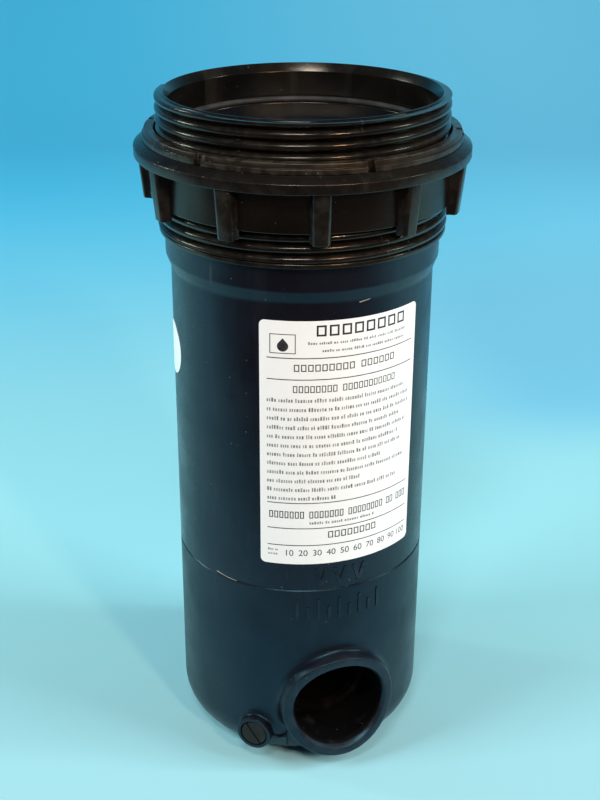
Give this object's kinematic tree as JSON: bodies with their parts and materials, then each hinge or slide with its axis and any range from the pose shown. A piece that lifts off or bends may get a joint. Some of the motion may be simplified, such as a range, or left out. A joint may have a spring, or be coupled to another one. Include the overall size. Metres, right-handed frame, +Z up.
{
  "type": "cartridge filter housing",
  "caption": "Top-loading cartridge filter housing: threaded neck with mounting nut, two slip sockets, drain plugs, and a pleated cartridge with bypass valve.",
  "frame": {"origin": "centre of the tank's base, on the surface it stands on", "axes": "+Z up along the tank's axis; -Y is the labelled front, with the outlet socket turned 18 degrees from -Y towards +X"},
  "size_m": [0.202, 0.202, 0.432],
  "materials": {
    "tank": "satin moulded ABS, almost black",
    "elbow": "satin moulded ABS",
    "nut": "glossy moulded ABS",
    "slip_ring": "glossy moulded ring",
    "plug": "matt black",
    "label": "white vinyl, satin",
    "seal": "black nitrile",
    "gasket": "soft black rubber",
    "end_cap": "moulded polyurethane",
    "media": "pleated polyester felt",
    "band": "woven tape",
    "core": "extruded PVC",
    "valve": "moulded acetal",
    "poppet": "moulded acetal",
    "spring": "stainless wire"
  },
  "bodies": {
    "tank": {"tank_upper": "tank", "tank_base": "tank", "outlet_elbow": "elbow", "spigot_o_ring": "seal", "neck_o_ring": "seal", "instruction_label": "label", "side_label": "label"},
    "slip_ring": {"nut_slip_ring": "slip_ring"},
    "nut": {"mounting_nut": "nut"},
    "cartridge": {"cartridge_gasket": "gasket", "cartridge_bottom_cap": "end_cap", "cartridge_top_cap": "end_cap", "pleated_media": "media", "cartridge_core": "core", "media_bands": "band", "bypass_body": "valve", "bypass_spider": "valve", "bypass_o_ring": "seal", "bypass_spring": "spring"},
    "poppet": {"bypass_poppet": "poppet", "bypass_seal": "seal"},
    "front_seal": {"drain_o_ring_front": "seal"},
    "front_plug": {"drain_plug_front": "plug"},
    "rear_seal": {"drain_o_ring_rear": "seal"},
    "rear_plug": {"drain_plug_rear": "plug"}
  },
  "joints": [
    {"name": "nut_travel", "type": "slide", "parent": "tank", "child": "slip_ring", "axis": [0, 0, 1], "range_m": [-0.0129, 0.01925]},
    {"name": "nut_turn", "type": "hinge", "parent": "slip_ring", "child": "nut", "pos_m": [0, 0, 0.388], "axis": [0, 0, 1], "range_deg": [-720, 1080]},
    {"name": "cartridge_lift", "type": "slide", "parent": "tank", "child": "cartridge", "axis": [0, 0, 1], "range_m": [0, 0.345]},
    {"name": "bypass_open", "type": "slide", "parent": "cartridge", "child": "poppet", "axis": [0, 0, -1], "range_m": [0, 0.008], "stiffness_N_per_m": 600, "springref_m": -0.008, "deforming": ["bypass_spring"]},
    {"name": "front_drain_travel", "type": "slide", "parent": "tank", "child": "front_seal", "axis": [-0.3502, -0.9367, 0], "range_m": [-0.00005, 0.00993]},
    {"name": "front_drain_turn", "type": "hinge", "parent": "front_seal", "child": "front_plug", "pos_m": [-0.02942, -0.07868, 0.025], "axis": [-0.3502, -0.9367, 0], "range_deg": [0, 2520]},
    {"name": "rear_drain_travel", "type": "slide", "parent": "tank", "child": "rear_seal", "axis": [0.3502, 0.9367, 0], "range_m": [-0.00005, 0.00993]},
    {"name": "rear_drain_turn", "type": "hinge", "parent": "rear_seal", "child": "rear_plug", "pos_m": [0.02942, 0.07868, 0.025], "axis": [0.3502, 0.9367, 0], "range_deg": [0, 2520]}
  ],
  "couplings": [
    {"joint": "nut_travel", "follows": "nut_turn", "m_per_rad": 0.0010106},
    {"joint": "front_drain_travel", "follows": "front_drain_turn", "m_per_rad": 0.00022457},
    {"joint": "rear_drain_travel", "follows": "rear_drain_turn", "m_per_rad": 0.00022457}
  ]
}
